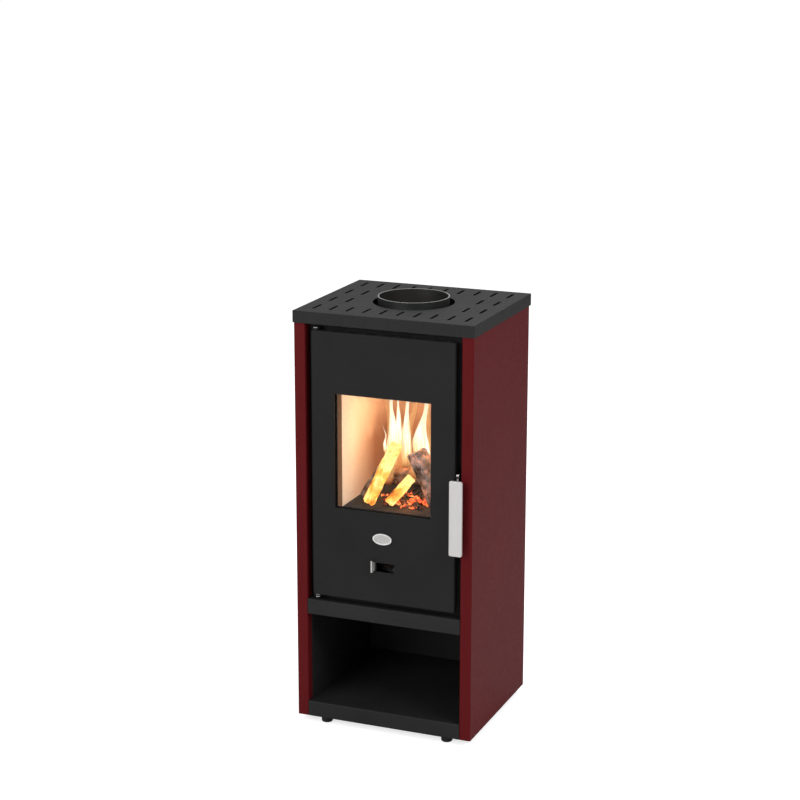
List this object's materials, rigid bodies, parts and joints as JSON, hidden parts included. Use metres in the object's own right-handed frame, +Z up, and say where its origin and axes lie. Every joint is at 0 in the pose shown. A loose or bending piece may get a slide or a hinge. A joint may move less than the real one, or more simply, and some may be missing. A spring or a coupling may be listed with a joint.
{
  "type": "wood burning stove",
  "caption": "Free-standing wood burning stove with a glazed door, lever handle, slotted top plate, flue collar, sliding air control and an open log store below.",
  "frame": {"origin": "on the floor, under the middle of the whole stove", "axes": "+Z up; -Y is the front, where the door is; +X is to the right when facing the door"},
  "size_m": [0.396, 0.365, 0.9108],
  "materials": {
    "red_enamel": "satin dark red enamel",
    "black_paint": "matt black heat-resistant paint",
    "door_paint": "matt black heat-resistant paint",
    "firebox_steel": "sooty black steel",
    "collar_steel": "dark grey paint with a bare rim",
    "cast_grate": "rough casting",
    "bed_brick": "ash-covered fire brick",
    "liner_board": "pressed vermiculite board",
    "burning_wood": "split logs, charred and glowing",
    "rope_seal": "braided glass rope",
    "ceramic_glass": "clear ceramic glass",
    "zinc_screw": "zinc plated",
    "blackened_screw": "blackened",
    "foot_rubber": "matt",
    "badge_metal": "satin centre, bright rim",
    "pin_steel": "turned",
    "satin_steel": "satin",
    "lever_steel": "dark plated",
    "shutter_steel": "dark plated",
    "pan_steel": "galvanised"
  },
  "bodies": {
    "stove_body": {"side_panel_right": "red_enamel", "side_panel_left": "red_enamel", "top_plate": "black_paint", "front_rail": "black_paint", "base_tray": "black_paint", "log_store_wall_right": "black_paint", "log_store_wall_left": "black_paint", "log_store_back": "black_paint", "firebox_shelf": "black_paint", "rear_cover": "black_paint", "rear_screws": "blackened_screw", "feet": "foot_rubber", "foot_nuts": "zinc_screw", "front_frame": "firebox_steel", "firebox_side_right": "firebox_steel", "firebox_side_left": "firebox_steel", "firebox_back": "firebox_steel", "ash_floor": "firebox_steel", "firebox_top": "firebox_steel", "flue_flange": "firebox_steel", "flue_collar": "collar_steel", "grate_shelf": "firebox_steel", "grate": "cast_grate", "bed_bricks": "bed_brick", "side_liner_right": "liner_board", "side_liner_left": "liner_board", "back_liner": "liner_board", "baffle_plate": "liner_board", "ash_pan_runners": "firebox_steel", "split_logs": "burning_wood", "hinge_plate_upper": "black_paint", "hinge_plate_lower": "black_paint", "hinge_pin_upper": "pin_steel", "hinge_pin_lower": "pin_steel", "hinge_washer": "pin_steel", "latch_keeper": "firebox_steel"},
    "door": {"door_panel": "door_paint", "gasket_channel": "door_paint", "door_rope": "rope_seal", "window_glass": "ceramic_glass", "glass_tape": "rope_seal", "glass_clips": "zinc_screw", "glass_clip_screws": "zinc_screw", "badge": "badge_metal", "handle_lugs": "door_paint", "handle_pin": "pin_steel", "shutter_guides": "door_paint"},
    "handle": {"handle_bar": "satin_steel", "latch_lever": "lever_steel"},
    "air_control": {"air_shutter": "shutter_steel", "air_tab": "satin_steel"},
    "ash_pan": {"ash_pan": "pan_steel"}
  },
  "joints": [
    {"name": "door_swing", "type": "hinge", "parent": "stove_body", "child": "door", "pos_m": [-0.15, -0.1545, 0.575], "axis": [0, 0, -1], "range_deg": [0, 120]},
    {"name": "handle_pull", "type": "hinge", "parent": "door", "child": "handle", "pos_m": [0.163, -0.1585, 0.5], "axis": [0, 0, -1], "range_deg": [0, 24]},
    {"name": "air_slide", "type": "slide", "parent": "door", "child": "air_control", "axis": [1, 0, 0], "range_m": [0, 0.043]},
    {"name": "ash_pan_slide", "type": "slide", "parent": "stove_body", "child": "ash_pan", "axis": [0, -1, 0], "range_m": [0, 0.15]}
  ],
  "couplings": [
    {"joint": "ash_pan_slide", "follows": "door_swing", "m_per_rad": 0.07}
  ]
}
